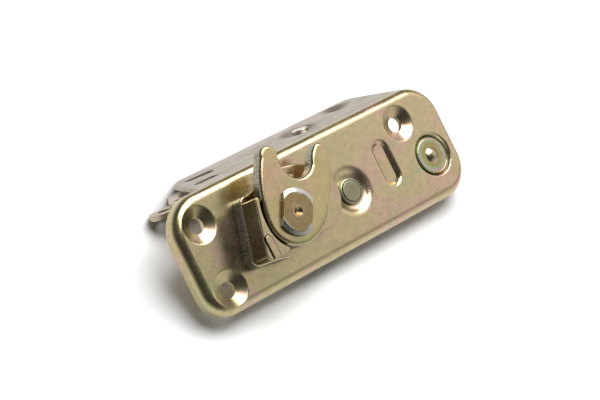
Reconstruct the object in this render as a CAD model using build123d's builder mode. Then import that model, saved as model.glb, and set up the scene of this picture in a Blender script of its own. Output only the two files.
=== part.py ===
from build123d import *
import math
import os

# Rotary claw door lock. Millimetres. X runs along the face plate's long side, Y towards its flange,
# Z out of the face. Each piece is drawn with the face at Z = 0 and the upper left screw hole's axis
# at X = Y = 0. It is written higher by ORIGIN_DEPTH, which puts the origin inside that hole's wall.
ORIGIN_DEPTH = 3.0

# Sheet and pan
SHEET = 1.8
PAN_LEFT, PAN_RIGHT = -11.8, 129.3
PAN_BOTTOM, PAN_TOP = -35.5, 11.8
PAN_DEPTH = 6.5
CORNERS_RIGHT, CORNER_UPPER_LEFT, CORNER_LOWER_LEFT = 14.0, 16.0, 11.0
EDGE_RADIUS = 3.8

# Screw holes: two short-side neighbours and one far hole on the same line
SCREW_PITCH_X, SCREW_PITCH_Y = 105.87, 26.15

# Flange, bent back from the top edge and flared outwards. Its points are (X, distance down the
# flange), counted from FLANGE_START above the bend's end.
FLARE = 11.0
FLANGE_START = 0.66
FLANGE_LEFT, FLANGE_RIGHT, FLANGE_DEPTH = 9.5, 117.0, 34.1
FLANGE_CUT, FLANGE_ELBOW, FLANGE_CORNER = (17.8, 29.5), 4.0, 4.5
FLANGE_SCREW = (103.4, 26.0)
FLANGE_PIVOT = (75.0, 17.0)
FLANGE_SLOTS = (((26.8, 23.6), 12.5, 4.4, -14), ((20.5, 11.0), 10.5, 4.6, -4))

# Dishes and emboss in the face
PAWL_AT = (70.3, -15.1)
END_AT = (115.3, -17.5)
EMBOSS_AT = (91.9, -11.9)
EMBOSS_LENGTH, EMBOSS_WIDTH, EMBOSS_DEPTH = 16.0, 5.2, 1.5
EMBOSS_SLOPE, EMBOSS_LIP = 1.5, 2.0

# Recesses: reach, mouth, floor, depth, hole, rounding
SCREW_CONE = (8.0, 7.4, 3.2, 2.1, 3.2, 2.0)
PAWL_DISH = (10.8, 9.2, 6.4, 1.6, 4.0, 4.5)
END_DISH = (10.2, 8.9, 7.8, 1.7, 3.0, 0.8)
FLANGE_DISH = (11.0, 9.6, 7.0, 1.7, 3.0, 1.2)

# Claw axle and what rides on it
AXLE_AT = (31.0, -11.8)
JOURNAL_FRONT, JOURNAL_REAR = 7.0, 5.0
RUNNING = 0.05
GUIDE_THICK = 5.5
CLAW_BACK, CLAW_FRONT, CLAW_EDGE = 9.5, 15.0, 1.4
HEAD_RADIUS, HEAD_HALF_FLATS, HEAD_HEIGHT = 9.0, 6.3, 1.7
HEAD_CONE, HEAD_CONE_HEIGHT = 1.6, 0.5
HEAD_BOSS = (3.1, 0.12, 0.1)
PUNCH_RADIUS, PUNCH_DEPTH = 1.9, 1.3
HEAD_TURN = -33.0
NECK_RADIUS, NECK_HALF_FLATS = 7.0, 5.0
SEAT_RADIUS, SEAT_HALF_FLATS = 6.0, 4.5
RATCHET_FRONT, RATCHET_BACK = -4.2, -8.2
RATCHET_RADIUS, RATCHET_ROOT = 12.5, 9.3
CLAW_TRAVEL, SAFETY_TRAVEL = 75.0, 42.0
NOSE_ANGLE = -74.0
SLACK = 0.3
COLLAR_RADIUS, BUSH_RADIUS, AXLE_WASHER_RADIUS = 9.0, 7.2, 8.0
CLIP_RADIUS, CLIP_THICK, CLIP_MOUTH = 7.5, 1.0, 5.5
NOTCH_FLOOR, NOTCH_SPAN = 14, 23
PEG_REACH, PEG_ANGLE, PEG_RADIUS, PEG_LENGTH = 10.84, 225.2, 1.1, 2.2

# Pawl: hub, nose, arm to the stud, ear with its peg
PAWL_HUB = 8.0
NOSE_AT, NOSE_RADIUS = (37.5, -27.6), 1.9
STUD_AT, STUD_RADIUS, STUD_EYE, STUD_END = (72.0, 0.5), 2.0, 3.0, -12.0
EAR_AT, EAR_RADIUS, EAR_PEG, EAR_PEG_LENGTH = (76.0, -6.0), 2.3, 1.5, 4.0

# Rear plate and the rivets that carry it. A head or a tail is radius, height and rim rounding;
# the domed end head has no rim rounding.
REAR_FRONT = -13.2
REAR_BACK = REAR_FRONT - SHEET
CORNERS_AT = [(20.3, -1.4), (15.5, -20.0)]
CORNER_SHANK, CORNER_SHOULDER, CORNER_HEAD, CORNER_HEAD_HEIGHT = 1.8, 2.2, 2.6, 1.2
POST_AT = (104.0, -16.0)
POST_RADIUS, POST_HEAD, POST_HEAD_HEIGHT, POST_TOP = 1.5, 2.4, 1.0, -6.5
AXLE_WEB, CORNER_WEB, NECK_WEB, RIGHT_WEB = 12.0, 4.4, 10.0, 8.0
PAWL_SPACER_RADIUS = 6.5
PAWL_SHANK, PAWL_JOURNAL = 4.0, 5.0
PAWL_HEAD, PAWL_BUTTON, PAWL_TAIL = (5.15, 1.4, 0.5), (4.15, 0.8, 0.25), (5.5, 1.4, 0.9)
PAWL_GROOVE, PAWL_GROOVE_DEPTH = 4.5, 0.5
END_SHANK, END_SHOULDER = 3.0, 5.0
END_DISC, END_HEAD, END_TAIL = (7.3, 1.0, 0.45), (3.25, 1.1), (4.5, 1.4, 0.9)

# Levers under the flange, at depths below its outer surface
LEVER_THICK = 2.0
LOCK_LEVER_AT = 3.6
RELEASE_LEVER_AT = 6.0
LEVER_BORE = 4.05
PIVOT_SHANK, PIVOT_NECK = 4.0, 3.0
PIVOT_HEAD, PIVOT_TAIL = (3.3, 2.3, 0.35), (5.4, 1.4, 0.9)
PIVOT_SHOULDER = 12.8
PIVOT_WASHER, PIVOT_WASHER_THICK = 7.4, 0.8
LEVER_WASHER_RADIUS, LEVER_BUSH_RADIUS, PRESSED = 7.5, 5.2, 0.1
LOCK_EYE, LOCK_EYE_RADIUS = (10.0, 18.5), 1.1
RELEASE_EYE, RELEASE_EYE_RADIUS = (6.0, 23.6), 2.4
TAB_LEFT, TAB_NEAR, TAB_FAR, TAB_DEPTH = 74.3, 4.5, 8.5, 14.0
SPRING_PEG = 1.1
RELEASE_PEG_AT, RELEASE_PEG_LENGTH = (62.0, 21.4), 3.0
FLANGE_STUD, FLANGE_STUD_RADIUS, FLANGE_STUD_LENGTH = (91.0, 21.0), 1.5, 13.2

# Springs: centre-line radius, wire radius, rise per turn; a leg's length and where the legs leave
TORSION_TURNS = 2
CLAW_SPRING_RADIUS, CLAW_SPRING_WIRE, CLAW_SPRING_PITCH = 8.8, 0.5, 1.45
CLAW_SPRING_TURN_AT, CLAW_SPRING_LEGS = 174.4 / 360, (12.0, 11.5)
RELEASE_SPRING_RADIUS, RELEASE_SPRING_WIRE, RELEASE_SPRING_PITCH = 6.3, 0.5, 1.45
RELEASE_SPRING_TURN_AT, RELEASE_SPRING_LEGS = 0.25, (18.5, 15.5)
PAWL_SPRING_RADIUS, PAWL_SPRING_WIRE, PAWL_SPRING_PITCH = 2.0, 0.4, 1.25
PAWL_SPRING_TURNS, PAWL_SPRING_Z, PAWL_SPRING_LEAD = 12, -10.0, 3.0
PAWL_LOOP = 2.05

os.makedirs("parts", exist_ok=True)

flare_sin = math.sin(math.radians(FLARE))
flare_cos = math.cos(math.radians(FLARE))
bend_y, bend_z = PAN_TOP - EDGE_RADIUS, -EDGE_RADIUS
flange_plane = Plane(
    origin=(
        0,
        bend_y + EDGE_RADIUS * flare_cos - FLANGE_START * flare_sin,
        bend_z + EDGE_RADIUS * flare_sin + FLANGE_START * flare_cos,
    ),
    x_dir=(1, 0, 0),
    z_dir=(0, flare_cos, flare_sin),
)
axle_plane = Plane(origin=(*AXLE_AT, 0))


def finish(piece, name):
    """Lift the piece to the part's own origin, name it and write it."""
    piece = piece.moved(Location((0, 0, ORIGIN_DEPTH)))
    piece.label = name
    export_step(piece, f"parts/{name}.step")


def spot(plane, at):
    return Plane(origin=plane.from_local_coords((*at, 0)), x_dir=plane.x_dir, z_dir=plane.z_dir)


def pan_block(inset, top, bottom, edge):
    """Rounded block of the pan's plan shape, drawn in by inset on all sides."""
    with BuildPart() as block:
        with BuildSketch(Plane.XY.offset(top)):
            centre = ((PAN_LEFT + PAN_RIGHT) / 2, (PAN_BOTTOM + PAN_TOP) / 2)
            with Locations(centre):
                Rectangle(PAN_RIGHT - PAN_LEFT - 2 * inset, PAN_TOP - PAN_BOTTOM - 2 * inset)
            fillet(vertices().sort_by(Axis.X)[-2:], CORNERS_RIGHT - inset)
            fillet(vertices().sort_by(lambda v: v.X - v.Y)[0], CORNER_UPPER_LEFT - inset)
            fillet(vertices().sort_by(lambda v: v.X + v.Y)[0], CORNER_LOWER_LEFT - inset)
        extrude(amount=bottom - top)
        fillet(faces().sort_by(Axis.Z)[-1].edges(), edge)
    return block.part


def formed_recess(plane, shape, within):
    """Ring of pressed sheet round a dish or a screw's cone, kept inside the pan's outer form."""
    reach, mouth, floor, depth, hole, rounding = shape
    profile = Plane(origin=plane.origin, x_dir=plane.x_dir, z_dir=-plane.y_dir)
    upper = [(reach, 0), (mouth, 0), (floor, -depth)]
    if hole < floor:
        upper.append((hole, -depth))
    under = [(x, y - SHEET) for x, y in upper]
    with BuildPart() as ring:
        with BuildSketch(profile):
            with BuildLine():
                FilletPolyline(*upper, radius=rounding)
                FilletPolyline(*under, radius=rounding)
                Line(upper[0], under[0])
                Line(upper[-1], under[-1])
            make_face()
        revolve(axis=Axis(plane.origin, plane.z_dir))
        if within:
            add(within, mode=Mode.INTERSECT)
    return ring.part


def round_head(plane, radius, height, rounding):
    """Round head that stands on the plane, its outer rim rounded."""
    with BuildPart() as head:
        with BuildSketch(plane):
            Circle(radius)
        extrude(amount=height)
        fillet(faces().sort_by(Axis((0, 0, 0), plane.z_dir))[-1].edges(), rounding)
    return head.part


def domed_head(plane, radius, height):
    """Slice of a ball that stands on the plane."""
    ball = (radius * radius + height * height) / (2 * height)
    with BuildPart() as head:
        with BuildSketch(plane):
            Circle(radius)
        extrude(amount=height)
        with Locations(plane.offset(height - ball).location):
            Sphere(ball, mode=Mode.INTERSECT)
    return head.part


def double_d(radius, half_flats, turn):
    """Sketch face: a circle cut by two parallel flats that run along the turned Y axis."""
    with BuildSketch() as face:
        Circle(radius)
        Rectangle(2 * half_flats, 3 * radius, rotation=turn, mode=Mode.INTERSECT)
    return face.sketch


def pillar(at, steps):
    """Turned piece on a Z axis: each step is (radius, top, bottom)."""
    with BuildPart() as turned:
        for radius, top, bottom in steps:
            with BuildSketch(Plane(origin=(*at, bottom))):
                Circle(radius)
            extrude(amount=top - bottom)
    return turned.part


def washer(plane, inner, outer, top, bottom):
    with BuildPart() as ring:
        with BuildSketch(plane.offset(bottom)):
            Circle(outer)
            Circle(inner, mode=Mode.SUBTRACT)
        extrude(amount=top - bottom)
    return ring.part


def biarc(start, start_way, end, end_way):
    """Two arcs that leave start along start_way and reach end along end_way."""
    span = end - start
    ways = start_way + end_way
    bend = 2 * (1 - start_way.dot(end_way))
    along = span.dot(ways)
    reach = (math.sqrt(along * along + bend * span.dot(span)) - along) / bend
    first, last = start + start_way * reach, end - end_way * reach
    middle = (first + last) / 2
    TangentArc(start, middle, tangent=start_way)
    TangentArc(middle, end, tangent=(last - first).normalized())


def helix_point(frame, radius, pitch, turn):
    """Point and direction on a helix, turn counted in full turns from the frame's X axis."""
    angle = 2 * math.pi * turn
    rise = pitch / (2 * math.pi * radius)
    point = frame.from_local_coords((radius * math.cos(angle), radius * math.sin(angle), pitch * turn))
    way = frame.from_local_coords((-math.sin(angle), math.cos(angle), rise)) - frame.origin
    return Vector(point), Vector(way).normalized()


def least_coil_gap(radius, pitch, wire, turns):
    """Smallest gap between points of the coil that lie at least half a turn apart."""
    points = [helix_point(Plane.XY, radius, pitch, step / 24)[0] for step in range(round(turns * 24) + 1)]
    gaps = [
        (b - a).length - 2 * wire
        for index, a in enumerate(points)
        for b in points[index + 12:]
    ]
    return min(gaps)


# Face plate: pan, flange, screw cones, dishes and emboss
outer_form = pan_block(0, 0, -PAN_DEPTH, EDGE_RADIUS)
screws = [(0, 0), (0, -SCREW_PITCH_Y), (SCREW_PITCH_X, 0)]
recesses = [(spot(Plane.XY, at), SCREW_CONE, outer_form) for at in screws]
recesses += [
    (spot(Plane.XY, PAWL_AT), PAWL_DISH, outer_form),
    (spot(Plane.XY, END_AT), END_DISH, outer_form),
    (spot(flange_plane, FLANGE_SCREW), SCREW_CONE, None),
    (spot(flange_plane, FLANGE_PIVOT), FLANGE_DISH, None),
]
with BuildPart() as face_plate:
    add(outer_form)
    add(pan_block(SHEET, -SHEET, -PAN_DEPTH - 1, EDGE_RADIUS - SHEET), mode=Mode.SUBTRACT)
    # the lip gives way to the flange
    with Locations(((FLANGE_LEFT + FLANGE_RIGHT) / 2, PAN_TOP, -PAN_DEPTH / 2)):
        Box(FLANGE_RIGHT - FLANGE_LEFT, 2 * EDGE_RADIUS, 2 * PAN_DEPTH, mode=Mode.SUBTRACT)
    with BuildSketch(Plane(origin=(FLANGE_LEFT, bend_y, bend_z), x_dir=(0, 1, 0), z_dir=(1, 0, 0))):
        with BuildLine():
            CenterArc((0, 0), EDGE_RADIUS, FLARE, 90 - FLARE)
            Line((0, EDGE_RADIUS), (0, EDGE_RADIUS - SHEET))
            CenterArc((0, 0), EDGE_RADIUS - SHEET, FLARE, 90 - FLARE)
            Line(
                (EDGE_RADIUS * flare_cos, EDGE_RADIUS * flare_sin),
                ((EDGE_RADIUS - SHEET) * flare_cos, (EDGE_RADIUS - SHEET) * flare_sin),
            )
        make_face()
    extrude(amount=FLANGE_RIGHT - FLANGE_LEFT)
    with BuildSketch(flange_plane):
        with BuildLine():
            Polyline(
                (FLANGE_LEFT, FLANGE_START), (FLANGE_LEFT + 0.5, 5), FLANGE_CUT, (23.5, FLANGE_DEPTH),
                (FLANGE_RIGHT, FLANGE_DEPTH), (FLANGE_RIGHT, FLANGE_START), close=True,
            )
        make_face()
        fillet(vertices().sort_by(lambda v: v.X + v.Y)[-1], FLANGE_CORNER)
        fillet(vertices().sort_by(lambda v: abs(v.X - FLANGE_CUT[0]))[0], FLANGE_ELBOW)
    extrude(amount=-SHEET)
    for plane, shape, within in recesses:
        with BuildSketch(plane):
            Circle(shape[0])
        extrude(amount=-SHEET, mode=Mode.SUBTRACT)
        add(formed_recess(plane, shape, within))
    taper = math.degrees(math.atan(EMBOSS_SLOPE / EMBOSS_DEPTH))
    with BuildSketch(Plane.XY.offset(-SHEET)):
        with Locations(EMBOSS_AT):
            SlotOverall(EMBOSS_LENGTH + 3 * EMBOSS_SLOPE, EMBOSS_WIDTH + 3 * EMBOSS_SLOPE, rotation=90)
    extrude(amount=-EMBOSS_DEPTH, taper=taper)
    with BuildSketch():
        with Locations(EMBOSS_AT):
            SlotOverall(EMBOSS_LENGTH + 2 * EMBOSS_SLOPE, EMBOSS_WIDTH + 2 * EMBOSS_SLOPE, rotation=90)
    extrude(amount=-EMBOSS_DEPTH, taper=taper, mode=Mode.SUBTRACT)
    near = EMBOSS_AT[0] - EMBOSS_WIDTH
    far = EMBOSS_AT[0] + EMBOSS_WIDTH
    emboss_mouth = edges().filter_by_position(Axis.Z, -0.01, 0.01).filter_by_position(Axis.X, near, far)
    fillet(emboss_mouth, EMBOSS_LIP)
    with BuildSketch(axle_plane):
        Circle(JOURNAL_FRONT + RUNNING)
    extrude(amount=-SHEET, mode=Mode.SUBTRACT)
    with BuildSketch():
        with Locations(*CORNERS_AT):
            Circle(CORNER_SHANK)
    extrude(amount=-SHEET, mode=Mode.SUBTRACT)
    with BuildSketch(flange_plane):
        for at, length, width, turn in FLANGE_SLOTS:
            with Locations(at):
                SlotOverall(length, width, rotation=turn)
    extrude(amount=-SHEET, mode=Mode.SUBTRACT)
finish(face_plate.part, "face_plate")

# Guide plate on the face, outline read round the claw
with BuildPart() as guide_plate:
    with BuildSketch():
        with BuildLine():
            Line((10.6, -19.5), (16.7, 0.0))
            ThreePointArc((16.7, 0.0), (17.9, 1.6), (20.3, 2.0))
            ThreePointArc((20.3, 2.0), (23.4, 2.5), (26.6, 4.1))
            ThreePointArc((26.6, 4.1), (40.0, 5.6), (52.5, 2.2))
            ThreePointArc((52.5, 2.2), (57.0, -1.0), (60.3, -5.8))
            ThreePointArc((60.3, -5.8), (60.8, -13.5), (56.6, -20.4))
            ThreePointArc((56.6, -20.4), (51.5, -23.2), (44.5, -23.4))
            ThreePointArc((44.5, -23.4), (40.6, -23.9), (37.2, -25.2))
            ThreePointArc((37.2, -25.2), (30.0, -26.1), (22.0, -25.0))
            Line((22.0, -25.0), (13.2, -24.0))
            ThreePointArc((13.2, -24.0), (10.7, -22.4), (10.6, -19.5))
        make_face()
        fillet(vertices(), 1.2)
    extrude(amount=GUIDE_THICK)
    fillet(faces().sort_by(Axis.Z)[-1].edges(), 0.7)
    with BuildSketch(axle_plane):
        Circle(JOURNAL_FRONT + RUNNING)
    extrude(amount=GUIDE_THICK, mode=Mode.SUBTRACT)
finish(guide_plate.part, "guide_plate")

# Lug beside the claw, with a pocket for its insert
with BuildPart() as lug_wedge:
    with BuildSketch(Plane.XY.offset(GUIDE_THICK)):
        with BuildLine():
            Line((13.5, -23.3), (13.3, -16.0))
            ThreePointArc((13.3, -16.0), (14.85, -14.45), (16.4, -16.0))
            Line((16.4, -16.0), (16.55, -23.3))
            Line((16.55, -23.3), (13.5, -23.3))
        make_face()
    extrude(amount=CLAW_FRONT - GUIDE_THICK + 0.1)
    fillet(faces().sort_by(Axis.Z)[-1].edges(), 0.3)
finish(lug_wedge.part, "lug_wedge")

with BuildPart() as guide_lug:
    with BuildSketch(Plane.XY.offset(GUIDE_THICK)):
        with BuildLine():
            Line((11.0, -20.6), (17.0, -1.0))
            ThreePointArc((17.0, -1.0), (18.1, -0.3), (18.7, -1.6))
            ThreePointArc((18.7, -1.6), (17.3, -6.5), (17.0, -11.8))
            ThreePointArc((17.0, -11.8), (18.1, -17.2), (21.4, -21.9))
            ThreePointArc((21.4, -21.9), (21.3, -22.9), (20.4, -23.3))
            Line((20.4, -23.3), (12.6, -23.3))
            ThreePointArc((12.6, -23.3), (11.2, -22.4), (11.0, -20.6))
        make_face()
        fillet(vertices(), 0.6)
    extrude(amount=CLAW_FRONT - GUIDE_THICK)
    fillet(faces().sort_by(Axis.Z)[-1].edges(), 0.45)
    with BuildSketch(Plane.XY.offset(GUIDE_THICK)):
        with BuildLine():
            Line((12.7, -23.4), (12.6, -16.0))
            ThreePointArc((12.6, -16.0), (14.7, -14.1), (16.5, -16.0))
            Line((16.5, -16.0), (16.7, -23.4))
            Line((16.7, -23.4), (12.7, -23.4))
        make_face()
    extrude(amount=CLAW_FRONT, mode=Mode.SUBTRACT)
finish(guide_lug.part, "guide_lug")

# Claw, outline given from its axle
with BuildPart() as claw:
    with BuildSketch(axle_plane.offset(CLAW_BACK)):
        with BuildLine():
            ThreePointArc((-3.3, 23.9), (-9.2, 14.2), (-12.9, 1.5))
            ThreePointArc((-12.9, 1.5), (-9.0, -9.1), (1.8, -12.2))
            ThreePointArc((1.8, -12.2), (9.7, -9.3), (15.5, -3.4))
            ThreePointArc((15.5, -3.4), (22.4, 5.9), (25.9, 15.9))
            ThreePointArc((25.9, 15.9), (24.0, 19.4), (21.2, 18.9))
            ThreePointArc((21.2, 18.9), (18.2, 16.0), (16.5, 13.2))
            ThreePointArc((16.5, 13.2), (8.6, 10.9), (3.8, 16.8))
            ThreePointArc((3.8, 16.8), (4.1, 20.2), (5.0, 23.4))
            ThreePointArc((5.0, 23.4), (0.9, 27.1), (-3.3, 23.9))
        make_face()
        fillet(vertices(), 1.5)
    extrude(amount=CLAW_FRONT - CLAW_BACK)
    fillet(faces().sort_by(Axis.Z)[-1].edges(), CLAW_EDGE)
    fillet(faces().sort_by(Axis.Z)[0].edges(), 0.6)
    with BuildSketch(axle_plane.offset(CLAW_BACK)):
        add(double_d(NECK_RADIUS, NECK_HALF_FLATS, HEAD_TURN))
    extrude(amount=CLAW_FRONT - CLAW_BACK, mode=Mode.SUBTRACT)
finish(claw.part, "claw")

# Axle: turned head with two flats, neck in the claw, front journal, ratchet seat, rear journal with
# its clip groove
AXLE_END = REAR_BACK - 2.7
CLIP_TOP = REAR_BACK - 0.9
with BuildPart() as claw_axle:
    with BuildSketch(axle_plane.offset(CLAW_FRONT)):
        Circle(HEAD_RADIUS)
    extrude(amount=HEAD_HEIGHT)
    head_top = faces().sort_by(Axis.Z)[-1]
    chamfer(head_top.edges(), HEAD_CONE, HEAD_CONE_HEIGHT, reference=head_top)
    with BuildSketch(axle_plane.offset(CLAW_FRONT)):
        Rectangle(2 * HEAD_HALF_FLATS, 3 * HEAD_RADIUS, rotation=HEAD_TURN)
    extrude(amount=HEAD_HEIGHT, mode=Mode.INTERSECT)
    add(round_head(axle_plane.offset(CLAW_FRONT + HEAD_HEIGHT), *HEAD_BOSS))
    with BuildSketch(axle_plane.offset(CLAW_BACK)):
        add(double_d(NECK_RADIUS, NECK_HALF_FLATS, HEAD_TURN))
    extrude(amount=CLAW_FRONT - CLAW_BACK)
    with BuildSketch(axle_plane.offset(RATCHET_FRONT)):
        Circle(JOURNAL_FRONT)
    extrude(amount=CLAW_BACK - RATCHET_FRONT)
    with BuildSketch(axle_plane.offset(RATCHET_BACK)):
        add(double_d(SEAT_RADIUS, SEAT_HALF_FLATS, HEAD_TURN))
    extrude(amount=RATCHET_FRONT - RATCHET_BACK)
    with BuildSketch(axle_plane.offset(AXLE_END)):
        Circle(JOURNAL_REAR)
    extrude(amount=RATCHET_BACK - AXLE_END)
    chamfer(faces().sort_by(Axis.Z)[0].edges(), 0.5)
    with BuildSketch(axle_plane.offset(CLIP_TOP - CLIP_THICK)):
        Circle(JOURNAL_REAR + 1)
        Circle(JOURNAL_REAR - 1, mode=Mode.SUBTRACT)
    extrude(amount=CLIP_THICK, mode=Mode.SUBTRACT)
    # centre punch mark
    with Locations((*AXLE_AT, CLAW_FRONT + HEAD_HEIGHT + HEAD_BOSS[1] - PUNCH_DEPTH / 2)):
        Cone(0.3, PUNCH_RADIUS, PUNCH_DEPTH, mode=Mode.SUBTRACT)
finish(claw_axle.part, "claw_axle")

finish(washer(axle_plane, JOURNAL_FRONT, COLLAR_RADIUS, CLAW_BACK, GUIDE_THICK + SLACK), "claw_collar")
finish(washer(axle_plane, JOURNAL_FRONT, COLLAR_RADIUS, -SHEET - SLACK, RATCHET_FRONT), "ratchet_spacer")
finish(washer(axle_plane, JOURNAL_REAR, BUSH_RADIUS, RATCHET_BACK, REAR_FRONT + SLACK), "spring_bush")
finish(washer(axle_plane, JOURNAL_REAR, AXLE_WASHER_RADIUS, REAR_BACK - SLACK, CLIP_TOP), "axle_washer")

with BuildPart() as axle_clip:
    with BuildSketch(axle_plane.offset(CLIP_TOP - CLIP_THICK)):
        Circle(CLIP_RADIUS)
        Circle(JOURNAL_REAR - 1, mode=Mode.SUBTRACT)
        with Locations((-CLIP_RADIUS, 0)):
            Rectangle(2 * CLIP_RADIUS, CLIP_MOUTH, mode=Mode.SUBTRACT)
    extrude(amount=CLIP_THICK)
finish(axle_clip.part, "axle_clip")


def at_angle(radius, degrees):
    return radius * math.cos(math.radians(degrees)), radius * math.sin(math.radians(degrees))


# Ratchet: one notch for the half-latched and one for the latched claw, and a peg for the spring
with BuildPart() as ratchet:
    with BuildSketch(axle_plane.offset(RATCHET_BACK)):
        Circle(RATCHET_RADIUS)
        for travel in (SAFETY_TRAVEL, CLAW_TRAVEL):
            step = NOSE_ANGLE + travel - 2
            with BuildLine():
                Polyline(
                    at_angle(RATCHET_RADIUS + 1, step), at_angle(RATCHET_ROOT, step + 1),
                    at_angle(RATCHET_ROOT, step + NOTCH_FLOOR),
                    at_angle(RATCHET_RADIUS + 1, step + NOTCH_SPAN), close=True,
                )
            make_face(mode=Mode.SUBTRACT)
        add(double_d(SEAT_RADIUS, SEAT_HALF_FLATS, HEAD_TURN), mode=Mode.SUBTRACT)
    extrude(amount=RATCHET_FRONT - RATCHET_BACK)
    with BuildSketch(axle_plane.offset(RATCHET_BACK - PEG_LENGTH)):
        with Locations(at_angle(PEG_REACH, PEG_ANGLE)):
            Circle(PEG_RADIUS)
    extrude(amount=PEG_LENGTH)
finish(ratchet.part, "ratchet")

# Pawl: boss on its rivet, arm under the ratchet, upper arm with the stud, ear for its spring
with BuildPart() as pawl:
    with BuildSketch(Plane.XY.offset(RATCHET_BACK)):
        for at, radius in ((NOSE_AT, NOSE_RADIUS), (STUD_AT, STUD_EYE), (EAR_AT, EAR_RADIUS)):
            with BuildSketch(mode=Mode.PRIVATE) as arm:
                with Locations(PAWL_AT):
                    Circle(PAWL_HUB)
                with Locations(at):
                    Circle(radius)
                make_hull()
            add(arm.sketch)
        with BuildLine():
            Polyline((34.4, -24.15), (37.9, -22.9), (42.0, -24.0), (42.0, -29.0), (34.4, -28.2), close=True)
        make_face()
        with Locations(PAWL_AT):
            Circle(PAWL_JOURNAL + RUNNING, mode=Mode.SUBTRACT)
    extrude(amount=RATCHET_FRONT - RATCHET_BACK)
    with BuildSketch(Plane(origin=(*EAR_AT, RATCHET_BACK - EAR_PEG_LENGTH))):
        Circle(EAR_PEG)
    extrude(amount=EAR_PEG_LENGTH)
finish(pawl.part, "pawl")
finish(pillar(STUD_AT, [(STUD_RADIUS, RATCHET_BACK, STUD_END)]), "pawl_stud")

# Rivets and posts between the face plate and the rear plate

def rear_spot(at):
    """Plane on the rear plate's back, facing away from it."""
    return Plane(origin=(*at, REAR_BACK), x_dir=(1, 0, 0), z_dir=(0, 0, -1))


pawl_floor = -PAWL_DISH[3]
pawl_head_plane = Plane(origin=(*PAWL_AT, pawl_floor))
with BuildPart() as pawl_rivet:
    add(round_head(pawl_head_plane, *PAWL_HEAD))
    groove_plane = pawl_head_plane.offset(PAWL_HEAD[1] - PAWL_GROOVE_DEPTH)
    with BuildSketch(groove_plane):
        Circle(PAWL_GROOVE)
    extrude(amount=2 * PAWL_GROOVE_DEPTH, mode=Mode.SUBTRACT)
    add(round_head(groove_plane, *PAWL_BUTTON))
    add(pillar(PAWL_AT, [
        (PAWL_SHANK, pawl_floor, pawl_floor - SHEET),
        (PAWL_JOURNAL, pawl_floor - SHEET, RATCHET_BACK - SLACK),
        (PAWL_SHANK, RATCHET_BACK - SLACK, REAR_BACK),
    ]))
    add(round_head(rear_spot(PAWL_AT), *PAWL_TAIL))
finish(pawl_rivet.part, "pawl_rivet")
finish(washer(
    spot(Plane.XY, PAWL_AT), PAWL_SHANK, PAWL_SPACER_RADIUS, RATCHET_BACK - SLACK, REAR_FRONT,
), "pawl_spacer")

end_floor = -END_DISH[3]
end_disc_top = end_floor + END_DISC[1]
with BuildPart() as end_disc:
    add(round_head(Plane(origin=(*END_AT, end_floor)), *END_DISC))
    with BuildSketch(Plane(origin=(*END_AT, end_floor))):
        Circle(END_SHANK)
    extrude(amount=END_DISC[1], mode=Mode.SUBTRACT)
finish(end_disc.part, "end_disc")
with BuildPart() as end_rivet:
    add(domed_head(Plane(origin=(*END_AT, end_disc_top)), *END_HEAD))
    add(pillar(END_AT, [
        (END_SHANK, end_disc_top, end_floor - SHEET),
        (END_SHOULDER, end_floor - SHEET, REAR_FRONT),
        (END_SHANK, REAR_FRONT, REAR_BACK),
    ]))
    add(round_head(rear_spot(END_AT), *END_TAIL))
finish(end_rivet.part, "end_rivet")

with BuildPart() as corner_rivets:
    for at in CORNERS_AT:
        add(pillar(at, [
            (CORNER_SHANK, 0, -SHEET),
            (CORNER_SHOULDER, -SHEET, REAR_FRONT),
            (CORNER_SHANK, REAR_FRONT, REAR_BACK),
            (CORNER_HEAD, REAR_BACK, REAR_BACK - CORNER_HEAD_HEIGHT),
        ]))
finish(corner_rivets.part, "corner_rivets")
finish(pillar(POST_AT, [
    (POST_RADIUS, POST_TOP, REAR_BACK), (POST_HEAD, REAR_BACK, REAR_BACK - POST_HEAD_HEIGHT),
]), "spring_post")

with BuildPart() as rear_plate:
    with BuildSketch(Plane.XY.offset(REAR_BACK)):
        for circles in (
            ((AXLE_AT, AXLE_WEB), (CORNERS_AT[0], CORNER_WEB), (CORNERS_AT[1], CORNER_WEB)),
            ((AXLE_AT, NECK_WEB), (PAWL_AT, RIGHT_WEB)),
            ((PAWL_AT, RIGHT_WEB), (END_AT, RIGHT_WEB)),
        ):
            with BuildSketch(mode=Mode.PRIVATE) as web:
                for at, radius in circles:
                    with Locations(at):
                        Circle(radius)
                make_hull()
            add(web.sketch)
        for at, radius in (
            (AXLE_AT, JOURNAL_REAR + RUNNING), (PAWL_AT, PAWL_SHANK), (END_AT, END_SHANK),
            (POST_AT, POST_RADIUS), (CORNERS_AT[0], CORNER_SHANK), (CORNERS_AT[1], CORNER_SHANK),
        ):
            with Locations(at):
                Circle(radius, mode=Mode.SUBTRACT)
    extrude(amount=SHEET)
finish(rear_plate.part, "rear_plate")

# Levers under the flange; their plane's Z points out of the flange
pivot_plane = spot(flange_plane, FLANGE_PIVOT)


def flat_lever(depth, circles, ends):
    """Flat lever: hub and arm hull, cut by the pivot bore, drawn on its lower face."""
    with BuildPart() as lever:
        with BuildSketch(flange_plane.offset(-depth - LEVER_THICK)):
            for pair in circles:
                with BuildSketch(mode=Mode.PRIVATE) as web:
                    for at, radius in pair:
                        with Locations(at):
                            Circle(radius)
                    make_hull()
                add(web.sketch)
            for at, radius in ends:
                with Locations(at):
                    Circle(radius, mode=Mode.SUBTRACT)
        extrude(amount=LEVER_THICK)
    return lever.part


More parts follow.
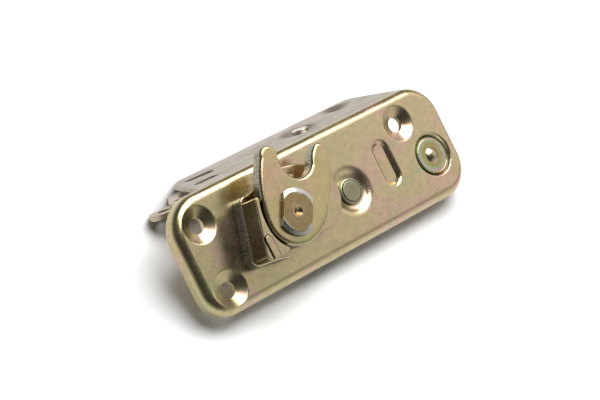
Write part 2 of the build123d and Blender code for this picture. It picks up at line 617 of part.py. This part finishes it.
lock_hub, release_hub = (FLANGE_PIVOT, 8.0), (FLANGE_PIVOT, 8.5)
with BuildPart() as lock_lever:
    add(flat_lever(
        LOCK_LEVER_AT,
        (
            (lock_hub, ((26.0, 23.0), 6.0)),
            (((26.0, 23.0), 6.0), ((18.0, 29.0), 3.9), ((9.5, 17.5), 3.6)),
            (lock_hub, ((87.0, 9.5), 3.2)),
        ),
        ((FLANGE_PIVOT, LEVER_BORE), (LOCK_EYE, LOCK_EYE_RADIUS)),
    ))
finish(lock_lever.part, "lock_lever")

with BuildPart() as release_lever:
    add(flat_lever(
        RELEASE_LEVER_AT,
        (
            (release_hub, ((30.0, 21.5), 5.0)),
            (((30.0, 21.5), 5.0), ((6.0, 23.3), 6.1)),
            (release_hub, ((78.0, 8.5), 3.7)),
        ),
        ((FLANGE_PIVOT, LEVER_BORE), (RELEASE_EYE, RELEASE_EYE_RADIUS)),
    ))
    with BuildSketch(flange_plane.offset(-TAB_DEPTH)):
        with Locations((TAB_LEFT + LEVER_THICK / 2, (TAB_NEAR + TAB_FAR) / 2)):
            Rectangle(LEVER_THICK, TAB_FAR - TAB_NEAR)
    extrude(amount=TAB_DEPTH - RELEASE_LEVER_AT)
    with BuildSketch(flange_plane.offset(-RELEASE_LEVER_AT - LEVER_THICK - RELEASE_PEG_LENGTH)):
        with Locations(RELEASE_PEG_AT):
            Circle(SPRING_PEG)
    extrude(amount=RELEASE_PEG_LENGTH)
finish(release_lever.part, "release_lever")

# Rivet that carries both levers, with a bright round head in the flange's dish
pivot_floor = -FLANGE_DISH[3]
pivot_end = -PIVOT_SHOULDER - PIVOT_WASHER_THICK
with BuildPart() as flange_rivet:
    add(round_head(pivot_plane.offset(pivot_floor), *PIVOT_HEAD))
    for radius, top, bottom in (
        (PIVOT_NECK, pivot_floor, pivot_floor - SHEET), (PIVOT_SHANK, pivot_floor - SHEET, pivot_end),
    ):
        with BuildSketch(pivot_plane.offset(bottom)):
            Circle(radius)
        extrude(amount=top - bottom)
    rear = pivot_plane.offset(pivot_end)
    add(round_head(Plane(origin=rear.origin, x_dir=rear.x_dir, z_dir=-rear.z_dir), *PIVOT_TAIL))
finish(flange_rivet.part, "flange_rivet")
lock_back = LOCK_LEVER_AT + LEVER_THICK
release_back = RELEASE_LEVER_AT + LEVER_THICK
finish(washer(
    pivot_plane, PIVOT_SHANK, LEVER_WASHER_RADIUS, -lock_back - PRESSED, PRESSED - RELEASE_LEVER_AT,
), "lever_washer")
finish(washer(
    pivot_plane, PIVOT_SHANK, LEVER_BUSH_RADIUS, -release_back - SLACK, -PIVOT_SHOULDER,
), "lever_bush")
finish(washer(pivot_plane, PIVOT_SHANK, PIVOT_WASHER, -PIVOT_SHOULDER, pivot_end), "flange_washer")
with BuildPart() as flange_stud:
    with BuildSketch(spot(flange_plane, FLANGE_STUD).offset(-FLANGE_STUD_LENGTH)):
        Circle(FLANGE_STUD_RADIUS)
    extrude(amount=FLANGE_STUD_LENGTH - SHEET)
finish(flange_stud.part, "flange_stud")


def torsion_spring(plane, radius, wire, pitch, turns, turn_at, legs):
    """Coil with two straight tangent legs; turn_at is where both legs leave, in turns from X."""
    with BuildPart() as spring:
        with BuildLine() as path:
            start, start_way = helix_point(plane, radius, pitch, turn_at)
            end, end_way = helix_point(plane, radius, pitch, turn_at + turns)
            Line(start - start_way * legs[0], start)
            for quarter in range(round(turns * 4)):
                near, near_way = helix_point(plane, radius, pitch, turn_at + quarter / 4)
                far, far_way = helix_point(plane, radius, pitch, turn_at + (quarter + 1) / 4)
                biarc(near, near_way, far, far_way)
            Line(end, end + end_way * legs[1])
        with BuildSketch(Plane(origin=path.wire() @ 0, z_dir=path.wire() % 0)):
            Circle(wire)
        sweep(path=path.wire())
    return spring.part


claw_coil = Plane(origin=(*AXLE_AT, REAR_FRONT + 1.05 - CLAW_SPRING_PITCH * CLAW_SPRING_TURN_AT))
finish(torsion_spring(
    claw_coil, CLAW_SPRING_RADIUS, CLAW_SPRING_WIRE, CLAW_SPRING_PITCH,
    TORSION_TURNS, CLAW_SPRING_TURN_AT, CLAW_SPRING_LEGS,
), "claw_spring")
release_coil = pivot_plane.offset(-PIVOT_SHOULDER + 0.8 - RELEASE_SPRING_PITCH / 4)
finish(torsion_spring(
    release_coil, RELEASE_SPRING_RADIUS, RELEASE_SPRING_WIRE, RELEASE_SPRING_PITCH,
    TORSION_TURNS, RELEASE_SPRING_TURN_AT, RELEASE_SPRING_LEGS,
), "release_spring")

# Tension spring from the pawl's peg to the post, a loop at each end
pull = Vector(POST_AT[0] - EAR_AT[0], POST_AT[1] - EAR_AT[1], 0)
pull_way = pull.normalized()
pull_side = Vector(-pull_way.Y, pull_way.X, 0)
loop_from = Plane(origin=(*EAR_AT, PAWL_SPRING_Z), x_dir=pull_way, z_dir=(0, 0, 1))
loop_to = Plane(origin=(*POST_AT, PAWL_SPRING_Z), x_dir=pull_way, z_dir=(0, 0, 1))
line_start = loop_from.origin + pull_side * PAWL_LOOP
line_end = loop_to.origin + pull_side * PAWL_LOOP
coil_length = PAWL_SPRING_TURNS * PAWL_SPRING_PITCH
coil_from = (pull.length - coil_length) / 2
coil_frame = Plane(origin=line_start + pull_way * coil_from, x_dir=pull_side, z_dir=pull_way)
with BuildPart() as pawl_spring:
    with BuildLine() as path:
        with BuildLine(loop_from):
            CenterArc((0, 0), PAWL_LOOP, 340, -250)
        first = line_start + pull_way * (coil_from - PAWL_SPRING_LEAD)
        Line(line_start, first)
        start, start_way = helix_point(coil_frame, PAWL_SPRING_RADIUS, PAWL_SPRING_PITCH, 0)
        biarc(first, pull_way, start, start_way)
        for quarter in range(PAWL_SPRING_TURNS * 4):
            near, near_way = helix_point(coil_frame, PAWL_SPRING_RADIUS, PAWL_SPRING_PITCH, quarter / 4)
            far, far_way = helix_point(coil_frame, PAWL_SPRING_RADIUS, PAWL_SPRING_PITCH, (quarter + 1) / 4)
            biarc(near, near_way, far, far_way)
        last = line_end - pull_way * (coil_from - PAWL_SPRING_LEAD)
        biarc(far, far_way, last, pull_way)
        Line(last, line_end)
        with BuildLine(loop_to):
            CenterArc((0, 0), PAWL_LOOP, 90, -250)
    with BuildSketch(Plane(origin=path.wire() @ 0, z_dir=path.wire() % 0)):
        Circle(PAWL_SPRING_WIRE)
    sweep(path=path.wire())
finish(pawl_spring.part, "pawl_spring")

for name, radius, pitch, wire, turns in (
    ("claw spring", CLAW_SPRING_RADIUS, CLAW_SPRING_PITCH, CLAW_SPRING_WIRE, TORSION_TURNS),
    ("release spring", RELEASE_SPRING_RADIUS, RELEASE_SPRING_PITCH, RELEASE_SPRING_WIRE, TORSION_TURNS),
    ("pawl spring", PAWL_SPRING_RADIUS, PAWL_SPRING_PITCH, PAWL_SPRING_WIRE, PAWL_SPRING_TURNS),
):
    print(name, "least gap between turns", round(least_coil_gap(radius, pitch, wire, turns), 3))
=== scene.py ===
import math

import bpy
from mathutils import Matrix, Vector


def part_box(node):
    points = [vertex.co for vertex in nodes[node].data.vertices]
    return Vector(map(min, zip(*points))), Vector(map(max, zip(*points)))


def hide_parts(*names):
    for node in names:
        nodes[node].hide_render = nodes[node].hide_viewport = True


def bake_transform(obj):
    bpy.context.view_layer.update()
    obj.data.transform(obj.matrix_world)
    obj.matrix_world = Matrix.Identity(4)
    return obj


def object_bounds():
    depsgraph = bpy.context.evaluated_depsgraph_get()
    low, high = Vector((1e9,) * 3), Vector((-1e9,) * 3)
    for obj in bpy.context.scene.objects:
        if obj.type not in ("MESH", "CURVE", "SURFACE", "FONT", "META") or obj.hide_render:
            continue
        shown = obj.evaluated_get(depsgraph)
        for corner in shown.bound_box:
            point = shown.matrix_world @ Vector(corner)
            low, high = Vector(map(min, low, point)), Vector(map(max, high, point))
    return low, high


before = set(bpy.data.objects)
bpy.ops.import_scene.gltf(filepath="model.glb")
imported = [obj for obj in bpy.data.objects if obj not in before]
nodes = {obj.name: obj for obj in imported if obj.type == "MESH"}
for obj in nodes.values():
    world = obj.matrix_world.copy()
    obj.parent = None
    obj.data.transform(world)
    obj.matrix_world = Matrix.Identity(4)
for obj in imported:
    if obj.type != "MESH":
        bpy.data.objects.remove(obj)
cad_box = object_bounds()
middle = (cad_box[0] + cad_box[1]) / 2
MM = 0.001

# Camera, in the row frame: where it stands, which way its own axes point, and its long lens
CAMERA_AT = (-0.3787, 0.0117, 0.5859)
CAMERA_RIGHT = (0.7168, -0.4436, 0.5380)
CAMERA_UP = (0.3738, 0.8958, 0.2405)
CAMERA_BACK = (-0.5886, 0.0287, 0.8079)
LENS, SENSOR, CLIP_START = 114.0, 36.0, 0.01

# Colours, linear: the film's tints first, then bare and dirty metal; BROWN and DARK also paint shade at the
# claw's low rim and where pieces meet
GOLD = (0.60, 0.50, 0.28, 1.0)
ROSE = (0.70, 0.44, 0.38, 1.0)
GREEN = (0.40, 0.52, 0.26, 1.0)
STEEL = (0.60, 0.58, 0.53, 1.0)
PALE_STEEL = (0.74, 0.76, 0.79, 1.0)
FLANGE_GREY = (0.46, 0.39, 0.30, 1.0)
BROWN = (0.26, 0.21, 0.13, 1.0)
DARK = (0.05, 0.042, 0.028, 1.0)
WHITE = (1.0, 1.0, 1.0, 1.0)

# Where the face plate's flange is: below the face and outside the bend
FACE_Z = 3.0 * MM
FLANGE_TOP, FLANGE_FULL = FACE_Z - 1.0 * MM, FACE_Z - 4.0 * MM
FLANGE_INSIDE, FLANGE_OUTSIDE = 11.2 * MM, 12.0 * MM
FLANGE_ROUGH, FLANGE_STREAKS = 0.42, 0.35

# Finish: sizes of the noise patterns in waves per metre, and how far each one reaches
CLOUD_SCALE, CLOUD_STRETCH = 48.0, (0.7, 1.2, 1.0)
STREAK_STRETCH = (12.0, 300.0, 300.0)
STROKE_STRETCH = (60.0, 1500.0, 1500.0)
SHEAR_STRETCH = (2200.0, 2200.0, 500.0)
MOTTLE_SCALE, MOTTLE_DARK, MOTTLE_LIGHT = 420.0, 0.88, 1.07
SPECK_SCALE, PATCH_SCALE, FINE_SCALE = 900.0, 130.0, 1600.0
PATCH_SMOOTH, PATCH_ROUGH = 0.8, 1.25
WANDER_SCALE, WANDER = 160.0, 0.5 * MM
RING_SHARE = 0.85
# painted shade: how far the occlusion looks and how much it darkens, where pieces meet (with grime) and at
# the claw's low rim
CREVICE_REACH, CREVICE_SHADE_AND_GRIME_SHARE = 0.9 * MM, 0.85
RIM_REACH, RIM_SHADE_SHARE, RIM_BAND = 3.2 * MM, 0.8, 5.0 * MM
OCCLUSION_SAMPLES = 8
FINE_RELIEF, STROKE_RELIEF, TURNING_RELIEF, TURNING_PITCH = 0.35, 0.5, 0.25, 0.45 * MM
BUMP_STRENGTH, BUMP_DEPTH = 0.22, 0.04 * MM


class Tree:
    """Short way to add shader nodes and join them."""

    def __init__(self, owner):
        self.nodes = owner.node_tree.nodes
        self.links = owner.node_tree.links

    def put(self, socket, value):
        if isinstance(value, bpy.types.NodeSocket):
            self.links.new(value, socket)
        else:
            socket.default_value = value

    def add(self, kind, inputs=None, **settings):
        node = self.nodes.new(kind)
        for key, value in settings.items():
            setattr(node, key, value)
        for key, value in (inputs or {}).items():
            self.put(node.inputs[key], value)
        return node

    def ramp(self, factor, stops):
        node = self.add("ShaderNodeValToRGB", {"Fac": factor})
        elements = node.color_ramp.elements
        while len(elements) < len(stops):
            elements.new(0.5)
        for element, (place, colour) in zip(elements, stops):
            element.position = place
            element.color = colour
        return node.outputs["Color"]

    def noise(self, vector, scale, detail, roughness=0.55):
        node = self.add(
            "ShaderNodeTexNoise",
            {"Vector": vector, "Scale": scale, "Detail": detail, "Roughness": roughness},
        )
        return node.outputs["Fac"]

    def mapped(self, vector, **change):
        inputs = {"Vector": vector}
        inputs.update({name.capitalize(): value for name, value in change.items()})
        return self.add("ShaderNodeMapping", inputs).outputs[0]

    def mix(self, factor, first, second, blend="MIX"):
        node = self.add("ShaderNodeMix", data_type="RGBA", blend_type=blend)
        for number, value in ((0, factor), (6, first), (7, second)):
            self.put(node.inputs[number], value)
        return node.outputs[2]

    def mix_shader(self, factor, first, second):
        node = self.add("ShaderNodeMixShader", {"Fac": factor})
        self.links.new(first, node.inputs[1])
        self.links.new(second, node.inputs[2])
        return node.outputs[0]

    def math(self, operation, first, second=0.0):
        node = self.add("ShaderNodeMath", operation=operation)
        self.put(node.inputs[0], first)
        self.put(node.inputs[1], second)
        return node.outputs[0]

    def along(self, vector, way):
        node = self.add("ShaderNodeVectorMath", {0: vector, 1: way}, operation="DOT_PRODUCT")
        return node.outputs["Value"]

    def span(self, value, low, high, to_low=0.0, to_high=1.0, kind="LINEAR"):
        node = self.add(
            "ShaderNodeMapRange",
            {"Value": value, "From Min": low, "From Max": high, "To Min": to_low, "To Max": to_high},
            interpolation_type=kind,
        )
        return node.outputs[0]

    def occlusion(self, reach, inside=False):
        node = self.add(
            "ShaderNodeAmbientOcclusion", {"Distance": reach}, samples=OCCLUSION_SAMPLES, inside=inside,
        )
        return node.outputs["AO"]

    def grey(self, value):
        return self.add("ShaderNodeCombineXYZ", {"X": value, "Y": value, "Z": value}).outputs[0]


def new_material(name):
    material = bpy.data.materials.new(name)
    material.use_nodes = True
    material.node_tree.nodes.clear()
    return material, Tree(material)


def distance_from(tree, place, centre):
    """Distance from a centre line along Z; centre is the shift that puts it at the origin."""
    shifted = tree.mapped(place, location=centre)
    flat = tree.add("ShaderNodeVectorMath", {0: shifted, 1: (1.0, 1.0, 0.0)}, operation="MULTIPLY")
    length = tree.add("ShaderNodeVectorMath", {0: flat.outputs[0]}, operation="LENGTH")
    return length.outputs["Value"]


def zinc(
    name, base, film=0.5, rough=0.3, scratches=0.4, grain_turn=0.0, dirt=0.3,
    wall=None, wall_speckle=0.0, wall_metal=1.0, flange=None, rings=None, fade=None, low_edge=None,
):
    """Yellow-passivated zinc on steel: a cloudy film of rose and green over gold, scratched and rubbed.

    wall is the colour of the sheared sides, wall_speckle the share of dark flecks on them and
    wall_metal how metallic they are. flange is the colour of the turned-back side, rings the tints
    round a centre, fade a second colour along the X axis, and low_edge the height below which
    painted shade darkens the face towards its rounded rim.
    """
    material, tree = new_material(name)
    metal = 1.0
    coordinates = tree.add("ShaderNodeTexCoord").outputs
    place = coordinates["Object"]
    axes = tree.add("ShaderNodeSeparateXYZ", {"Vector": place}).outputs
    facing = tree.add("ShaderNodeSeparateXYZ", {"Vector": coordinates["Normal"]}).outputs
    # clouds of film thickness, stretched a little along the sheet's rolling direction
    turned = tree.mapped(place, rotation=(0, 0, grain_turn))
    cloud = tree.noise(tree.mapped(turned, scale=CLOUD_STRETCH), CLOUD_SCALE, 4.0, 0.6)
    if fade:
        far_colour, low, high = fade
        base = tree.mix(tree.span(axes["X"], low, high), base, far_colour)
    tint = tree.ramp(cloud, [(0.30, GREEN), (0.42, GOLD), (0.52, GOLD), (0.60, ROSE), (0.70, GREEN)])
    colour = tree.mix(film, base, tint)
    if flange:
        # greyer and duller, with pale streaks along its length
        behind = tree.span(axes["Z"], FLANGE_TOP, FLANGE_FULL)
        outside = tree.span(axes["Y"], FLANGE_INSIDE, FLANGE_OUTSIDE)
        turned_back = tree.math("MULTIPLY", behind, outside)
        streak = tree.noise(tree.mapped(place, scale=STREAK_STRETCH), 1.0, 4.0, 0.6)
        handled = tree.mix(tree.span(streak, 0.35, 0.65, 0.0, FLANGE_STREAKS), flange, PALE_STEEL)
        colour = tree.mix(turned_back, colour, handled)
        rough = tree.span(turned_back, 0.0, 1.0, rough, FLANGE_ROUGH)
    if rings:
        centre, stops, reach = rings
        radius = distance_from(tree, place, centre)
        wander = tree.span(tree.noise(place, WANDER_SCALE, 1.0), 0.3, 0.7, -WANDER, WANDER)
        ring = tree.ramp(tree.span(tree.math("ADD", radius, wander), 0.0, reach), stops)
        colour = tree.mix(RING_SHARE, colour, ring)
    if wall:
        upright = tree.span(tree.math("ABSOLUTE", facing["Z"]), 0.75, 0.35)
        colour = tree.mix(upright, colour, wall)
        shear = tree.noise(tree.mapped(place, scale=SHEAR_STRETCH), 1.0, 3.0, 0.6)
        fleck = tree.span(shear, 0.46, 0.60, 0.0, wall_speckle)
        colour = tree.mix(tree.math("MULTIPLY", fleck, upright), colour, DARK)
        metal = tree.span(upright, 0.0, 1.0, 1.0, wall_metal)
    # painted shade: below low_edge the face darkens to brown towards its rounded rim
    if low_edge:
        rim = tree.span(tree.occlusion(RIM_REACH, inside=True), 0.95, 0.55, 0.0, RIM_SHADE_SHARE)
        lower = tree.span(axes["Y"], low_edge, low_edge - RIM_BAND)
        colour = tree.mix(tree.math("MULTIPLY", rim, lower), colour, BROWN)
    # finer mottling in tone
    mottle = tree.span(tree.noise(turned, MOTTLE_SCALE, 5.0, 0.6), 0.3, 0.7, MOTTLE_DARK, MOTTLE_LIGHT)
    colour = tree.mix(1.0, colour, tree.grey(mottle), "MULTIPLY")
    # long fine strokes: the highest are bright scratches, the lowest are brown scuffs
    stroke = tree.noise(tree.mapped(turned, scale=STROKE_STRETCH), 1.0, 2.0, 0.5)
    colour = tree.mix(tree.span(stroke, 0.68, 0.76, 0.0, scratches), colour, STEEL)
    colour = tree.mix(tree.span(stroke, 0.33, 0.25, 0.0, scratches * 0.7), colour, BROWN)
    # small dark specks and stains
    speck = tree.noise(place, SPECK_SCALE, 2.0, 0.4)
    colour = tree.mix(tree.span(speck, 0.68, 0.76, 0.0, dirt), colour, DARK)
    # painted shade and grime where two pieces meet, darkened by occlusion
    joint_shade_and_grime = tree.occlusion(CREVICE_REACH)
    colour = tree.mix(tree.span(joint_shade_and_grime, 0.75, 0.35, 0.0, CREVICE_SHADE_AND_GRIME_SHARE), colour, DARK)
    patches = tree.span(tree.noise(turned, PATCH_SCALE, 4.0, 0.6), 0.3, 0.7, PATCH_SMOOTH, PATCH_ROUGH)
    roughness = tree.math("MULTIPLY", patches, rough)
    fine = tree.math("MULTIPLY", tree.noise(turned, FINE_SCALE, 3.0, 0.6), FINE_RELIEF)
    relief = tree.math("ADD", fine, tree.math("MULTIPLY", stroke, STROKE_RELIEF))
    if rings:
        turning = tree.math("SINE", tree.math("MULTIPLY", radius, 2 * math.pi / TURNING_PITCH))
        relief = tree.math("ADD", relief, tree.math("MULTIPLY", turning, TURNING_RELIEF))
    bump = tree.add("ShaderNodeBump", {"Height": relief, "Strength": BUMP_STRENGTH, "Distance": BUMP_DEPTH})
    shader = tree.add(
        "ShaderNodeBsdfPrincipled",
        {"Base Color": colour, "Metallic": metal, "Roughness": roughness, "Normal": bump.outputs[0]},
    )
    out = tree.add("ShaderNodeOutputMaterial")
    tree.links.new(shader.outputs[0], out.inputs[0])
    return material


def centre_of(node):
    """Shift that puts a node's middle at the origin, seen along Z."""
    low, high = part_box(node)
    return (-(low.x + high.x) / 2, -(low.y + high.y) / 2, 0.0)


# Tints from the middle outwards, and the radius where they end
DISC_TINTS, DISC_REACH = [
    (0.0, (0.44, 0.37, 0.19, 1.0)),
    (0.62, (0.42, 0.33, 0.14, 1.0)),
    (0.74, (0.30, 0.50, 0.22, 1.0)),
    (0.85, (0.66, 0.38, 0.44, 1.0)),
    (0.97, (0.42, 0.60, 0.34, 1.0)),
], 7.3 * MM
HEAD_TINTS, HEAD_REACH = [
    (0.0, (0.50, 0.36, 0.16, 1.0)),
    (0.26, (0.50, 0.34, 0.22, 1.0)),
    (0.36, (0.36, 0.26, 0.14, 1.0)),
    (0.76, (0.34, 0.24, 0.11, 1.0)),
    (0.86, (0.66, 0.66, 0.64, 1.0)),
], 9.0 * MM
BUTTON_TINTS, BUTTON_REACH = [
    (0.0, (0.27, 0.25, 0.17, 1.0)),
    (0.60, (0.30, 0.28, 0.18, 1.0)),
    (0.74, (0.28, 0.38, 0.22, 1.0)),
    (0.86, (0.50, 0.36, 0.36, 1.0)),
    (0.97, (0.42, 0.50, 0.34, 1.0)),
], 5.2 * MM

plate_look = zinc(
    "plate_zinc", (0.50, 0.45, 0.26, 1.0), film=0.6, rough=0.25, dirt=0.5, flange=FLANGE_GREY,
    fade=((0.62, 0.49, 0.32, 1.0), 20.0 * MM, 90.0 * MM),
)
rear_look = zinc("rear_zinc", GOLD, film=0.7, rough=0.33)
guide_look = zinc(
    "guide_zinc", (0.56, 0.46, 0.28, 1.0), film=0.4, rough=0.24, scratches=0.5,
    wall=(0.42, 0.40, 0.34, 1.0), wall_speckle=0.55, wall_metal=0.7,
)
lug_look = zinc(
    "lug_zinc", (0.58, 0.46, 0.29, 1.0), film=0.3, rough=0.22, scratches=0.4,
    wall=(0.50, 0.44, 0.30, 1.0), wall_speckle=0.3,
)
# the claw's face carries painted shade towards its low rim
claw_look = zinc(
    "claw_zinc", (0.60, 0.47, 0.24, 1.0), film=0.45, rough=0.25, scratches=0.35, grain_turn=0.9,
    wall=(0.42, 0.38, 0.28, 1.0), wall_speckle=0.6, low_edge=-14.0 * MM,
)
axle_look = zinc(
    "axle_zinc", (0.40, 0.31, 0.17, 1.0), film=0.15, rough=0.24, scratches=0.3,
    rings=(centre_of("claw_axle"), HEAD_TINTS, HEAD_REACH),
)
disc_look = zinc(
    "disc_zinc", GOLD, film=0.3, rough=0.25, scratches=0.2,
    rings=(centre_of("end_disc"), DISC_TINTS, DISC_REACH),
)
button_look = zinc(
    "pawl_rivet_zinc", GOLD, film=0.3, rough=0.3, scratches=0.3,
    rings=(centre_of("pawl_rivet"), BUTTON_TINTS, BUTTON_REACH),
)
rivet_look = zinc("rivet_zinc", (0.46, 0.41, 0.27, 1.0), film=0.3, rough=0.28)
lever_look = zinc("lever_zinc", (0.52, 0.44, 0.33, 1.0), film=0.4, rough=0.32, scratches=0.6)
inner_look = zinc("inner_zinc", GOLD, film=0.6, rough=0.35)
bright_look = zinc("bright_zinc", (0.74, 0.72, 0.64, 1.0), film=0.15, rough=0.24)
wire_look = zinc("wire_steel", (0.45, 0.45, 0.46, 1.0), film=0.1, rough=0.3)
dark_look = zinc("dark_steel", (0.16, 0.13, 0.07, 1.0), film=0.2, rough=0.22)

WEARERS = (
    (plate_look, ("face_plate",)),
    (rear_look, ("rear_plate",)),
    (guide_look, ("guide_plate", "ratchet", "pawl")),
    (lug_look, ("guide_lug", "lug_wedge")),
    (claw_look, ("claw",)),
    (axle_look, ("claw_axle",)),
    (disc_look, ("end_disc",)),
    (button_look, ("pawl_rivet",)),
    (rivet_look, ("end_rivet",)),
    (lever_look, ("lock_lever", "release_lever")),
    (inner_look, (
        "claw_collar", "ratchet_spacer", "spring_bush", "pawl_spacer", "lever_washer", "lever_bush",
    )),
    (bright_look, (
        "axle_washer", "pawl_stud", "corner_rivets", "spring_post", "flange_rivet", "flange_washer",
        "flange_stud",
    )),
    (wire_look, ("claw_spring", "release_spring", "pawl_spring")),
    (dark_look, ("axle_clip",)),
)
for look, names in WEARERS:
    for name in names:
        nodes[name].data.materials.clear()
        nodes[name].data.materials.append(look)


def wound(node):
    """A spring's own copy, put in its place while the original is hidden."""
    wire = bpy.data.objects.new(node + "_wire", nodes[node].data.copy())
    bpy.context.scene.collection.objects.link(wire)
    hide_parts(node)
    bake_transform(wire)


def twisted(node):
    """A coil spring's own copy, made the same way as any other spring's."""
    wound(node)


# Springs: each one is shown by its own copy
twisted("claw_spring")
twisted("release_spring")
wound("pawl_spring")

# Floor: the lock rests on its flange's edge and tips forward until its rear side touches too
TOUCH_REACH = 5 * MM
FLOOR_HALF = 3.0
FLOOR_MATTE = (0.95, 0.95, 0.94, 1.0)
FLOOR_WHITE = 1.32
NEAR_REACH, NEAR_SHADE = 12 * MM, 0.35
REFLECTED_WHITE, REFLECTED_GLOW = 0.70, 0.28
points = [vertex.co for node in nodes.values() for vertex in node.data.vertices]
heel = min(points, key=lambda point: point.z)
tilt = min(
    math.atan2(point.z - heel.z, heel.y - point.y) for point in points if point.y < heel.y - TOUCH_REACH
)
floor_turn = Matrix.Rotation(-tilt, 4, "X")
floor_mesh = bpy.data.meshes.new("floor")
floor_mesh.from_pydata(
    [(x * FLOOR_HALF, y * FLOOR_HALF, 0.0) for x, y in ((-1, -1), (1, -1), (1, 1), (-1, 1))],
    [],
    [(0, 1, 2, 3)],
)
floor = bpy.data.objects.new("floor", floor_mesh)
bpy.context.scene.collection.objects.link(floor)
floor.matrix_world = Matrix.Translation((middle.x, heel.y, heel.z)) @ floor_turn
floor_look, tree = new_material("floor_white")
light_path = tree.add("ShaderNodeLightPath").outputs
seen = tree.math("MAXIMUM", light_path["Is Camera Ray"], light_path["Is Transmission Ray"])
matte = tree.add("ShaderNodeBsdfDiffuse", {"Color": FLOOR_MATTE})
# for the eye the sheet is whiter than for the light, with a painted contact shadow close under the lock
shade = tree.span(tree.occlusion(NEAR_REACH), 0.45, 0.95, NEAR_SHADE, 1.0)
paper = tree.grey(tree.math("MULTIPLY", shade, FLOOR_WHITE))
lit = tree.add("ShaderNodeBsdfDiffuse", {"Color": paper})
surface = tree.mix_shader(seen, matte.outputs[0], lit.outputs[0])
# mirrored in the metal, the sheet stays pale far off as well
sheet = tree.add("ShaderNodeBsdfDiffuse", {"Color": (REFLECTED_WHITE,) * 3 + (1.0,)})
glow = tree.add("ShaderNodeEmission", {"Color": WHITE, "Strength": REFLECTED_GLOW})
mirrored = tree.add("ShaderNodeAddShader")
tree.links.new(sheet.outputs[0], mirrored.inputs[0])
tree.links.new(glow.outputs[0], mirrored.inputs[1])
surface = tree.mix_shader(light_path["Is Glossy Ray"], surface, mirrored.outputs[0])
# from beneath, the floor lets the view through
under = tree.add("ShaderNodeNewGeometry").outputs["Backfacing"]
surface = tree.mix_shader(under, surface, tree.add("ShaderNodeBsdfTransparent").outputs[0])
tree.links.new(surface, tree.add("ShaderNodeOutputMaterial").inputs[0])
floor_mesh.materials.append(floor_look)

# Studio: dark surroundings, two pale zones and the white sheet that runs up behind the lock all round.
# A zone is its direction, the angles where it is full and where it ends, and its level.
DARK_LEVEL = 0.06
ZONES = (
    ((0.76, 0.18, 0.62), 8.0, 36.0, 0.92),
    ((0.50, -0.65, 0.57), 8.0, 34.0, 0.38),
)
HORIZON_LEVEL, HORIZON_FULL, HORIZON_END = 0.38, 9.0, 24.0
SKY_COLOUR = (1.0, 0.985, 0.96, 1.0)
world = bpy.data.worlds.new("studio")
bpy.context.scene.world = world
world.use_nodes = True
world.node_tree.nodes.clear()
sky = Tree(world)
direction = sky.add("ShaderNodeTexCoord").outputs["Generated"]
level = DARK_LEVEL
for way, full, end, strength in ZONES:
    towards = sky.along(direction, Vector(way).normalized())
    outer, inner = math.cos(math.radians(end)), math.cos(math.radians(full))
    level = sky.math("ADD", sky.span(towards, outer, inner, 0.0, strength, "SMOOTHSTEP"), level)
floor_normal = floor_turn.to_3x3() @ Vector((0.0, 0.0, 1.0))
height = sky.along(direction, floor_normal)
outer, inner = math.sin(math.radians(HORIZON_END)), math.sin(math.radians(HORIZON_FULL))
level = sky.math("ADD", sky.span(height, outer, inner, 0.0, HORIZON_LEVEL, "SMOOTHSTEP"), level)
backdrop = sky.add("ShaderNodeBackground", {"Color": SKY_COLOUR, "Strength": level})
plain = sky.add("ShaderNodeBackground", {"Color": WHITE, "Strength": 1.0})
seen = sky.add("ShaderNodeLightPath").outputs["Is Camera Ray"]
shown = sky.mix_shader(seen, backdrop.outputs[0], plain.outputs[0])
sky.links.new(shown, sky.add("ShaderNodeOutputWorld").inputs[0])

# One large soft box that looks at the lock: its direction, which way its width runs, how far off
# it stands, its width and height, and its brightness per area
KEY_WAY, KEY_ACROSS, KEY_DISTANCE = Vector((0.255, 0.634, 0.734)), Vector((0.80, 0.0, -0.50)), 1.1
KEY_WIDTH, KEY_HEIGHT, KEY_LEVEL = 1.03, 0.88, 4.6
lamp = bpy.data.lights.new("key_light", "AREA")
lamp.shape = "RECTANGLE"
lamp.size, lamp.size_y = KEY_WIDTH, KEY_HEIGHT
lamp.energy = KEY_LEVEL * math.pi * KEY_WIDTH * KEY_HEIGHT
key_light = bpy.data.objects.new("key_light", lamp)
bpy.context.scene.collection.objects.link(key_light)
away = KEY_WAY.normalized()
side = (KEY_ACROSS - away * KEY_ACROSS.dot(away)).normalized()
key_axes = Matrix((side, away.cross(side), away)).transposed().to_4x4()
key_light.matrix_world = Matrix.Translation(middle + away * KEY_DISTANCE) @ key_axes

# The photograph's view
camera_data = bpy.data.cameras.new("camera")
camera_data.lens = LENS
camera_data.sensor_width = SENSOR
camera_data.clip_start = CLIP_START
camera = bpy.data.objects.new("camera", camera_data)
bpy.context.scene.collection.objects.link(camera)
camera_axes = Matrix((CAMERA_RIGHT, CAMERA_UP, CAMERA_BACK)).transposed().to_4x4()
camera.matrix_world = Matrix.Translation(CAMERA_AT) @ camera_axes
bpy.context.scene.camera = camera
bpy.context.scene.view_settings.view_transform = "Standard"
